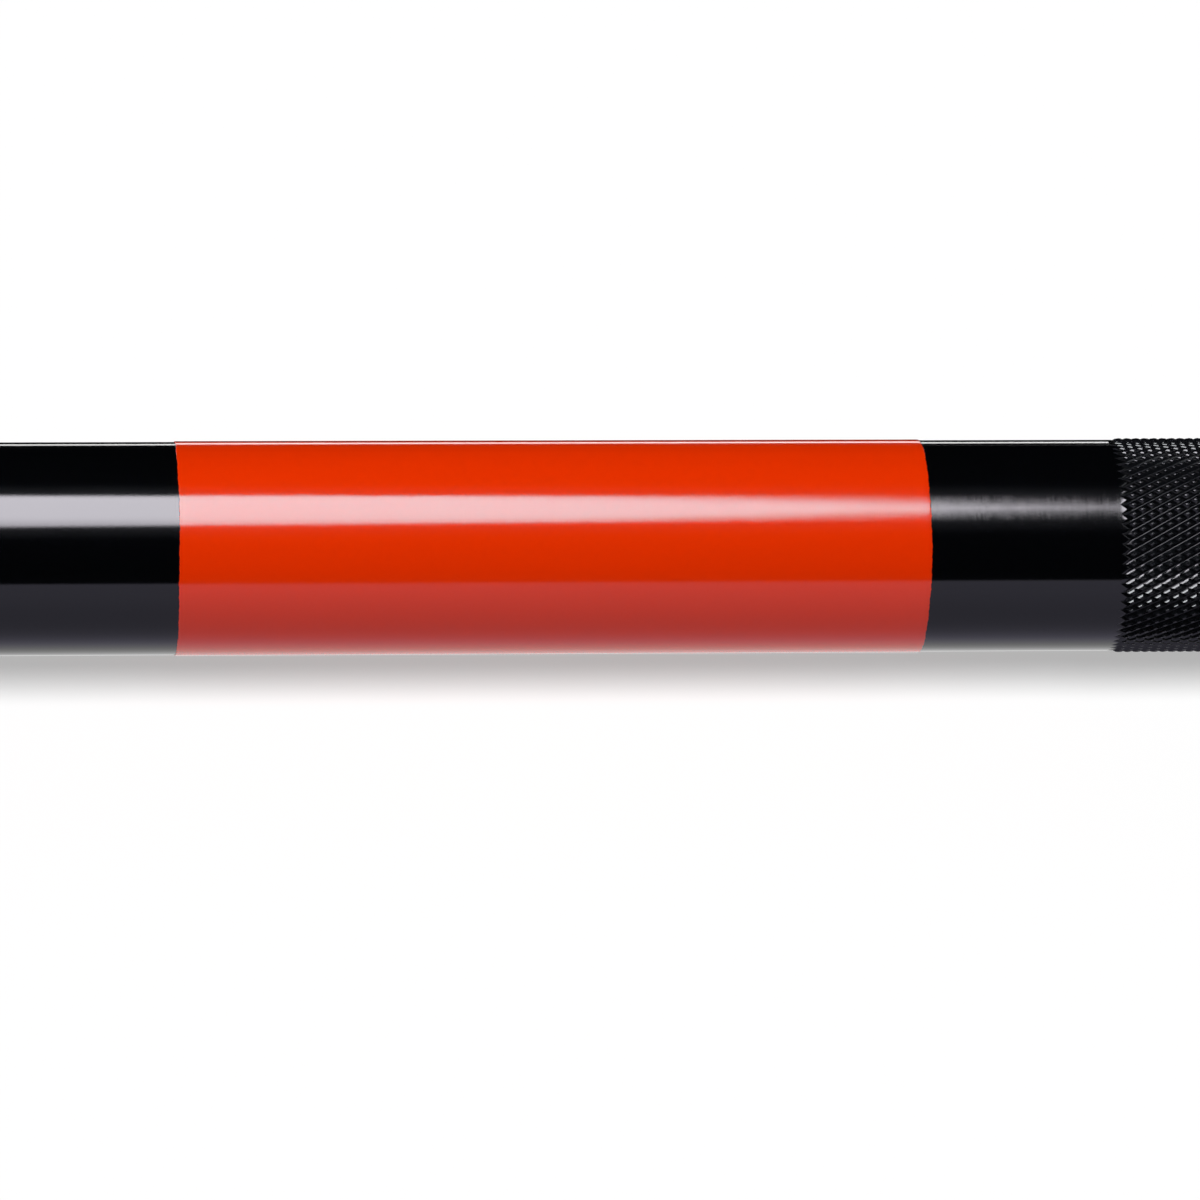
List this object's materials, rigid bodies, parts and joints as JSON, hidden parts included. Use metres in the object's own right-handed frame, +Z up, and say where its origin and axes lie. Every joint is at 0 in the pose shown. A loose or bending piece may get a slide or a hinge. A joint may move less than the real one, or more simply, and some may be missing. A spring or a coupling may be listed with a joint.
{
  "type": "powerlifting bar",
  "caption": "Straight steel barbell with a knurled shaft, coloured grip bands and a freely spinning plate sleeve on each end.",
  "frame": {"origin": "on the floor under the middle of the bar, which lies on its two collars", "axes": "+X along the bar, +Z up, the picture looks from the -Y side"},
  "size_m": [2.2, 0.0778, 0.0777],
  "materials": {
    "black_coat": "gloss",
    "orange_coat": "gloss",
    "chrome": "polished",
    "bronze": "satin",
    "washer_steel": "satin",
    "spring_steel": "satin",
    "cap_metal": "satin",
    "rubber": "matte"
  },
  "bodies": {
    "shaft_unit": {"shaft": "black_coat", "grip_band_left": "orange_coat", "grip_band_right": "orange_coat", "inner_thrust_washer_left": "washer_steel", "inner_thrust_washer_right": "washer_steel", "outer_thrust_washer_left": "washer_steel", "outer_thrust_washer_right": "washer_steel", "shaft_ring_left": "spring_steel", "shaft_ring_right": "spring_steel"},
    "left_sleeve": {"sleeve_tube_left": "chrome", "collar_left": "chrome", "dust_seal_left": "rubber", "inner_bushing_left": "bronze", "outer_bushing_left": "bronze", "end_cap_left": "cap_metal", "cap_ring_left": "spring_steel"},
    "right_sleeve": {"sleeve_tube_right": "chrome", "collar_right": "chrome", "dust_seal_right": "rubber", "inner_bushing_right": "bronze", "outer_bushing_right": "bronze", "end_cap_right": "cap_metal", "cap_ring_right": "spring_steel"}
  },
  "joints": [
    {"name": "left_sleeve_spin", "type": "hinge", "parent": "shaft_unit", "child": "left_sleeve", "pos_m": [-0.655, 0, 0.03885], "axis": [1, 0, 0], "continuous": true},
    {"name": "right_sleeve_spin", "type": "hinge", "parent": "shaft_unit", "child": "right_sleeve", "pos_m": [0.655, 0, 0.03885], "axis": [1, 0, 0], "continuous": true}
  ]
}
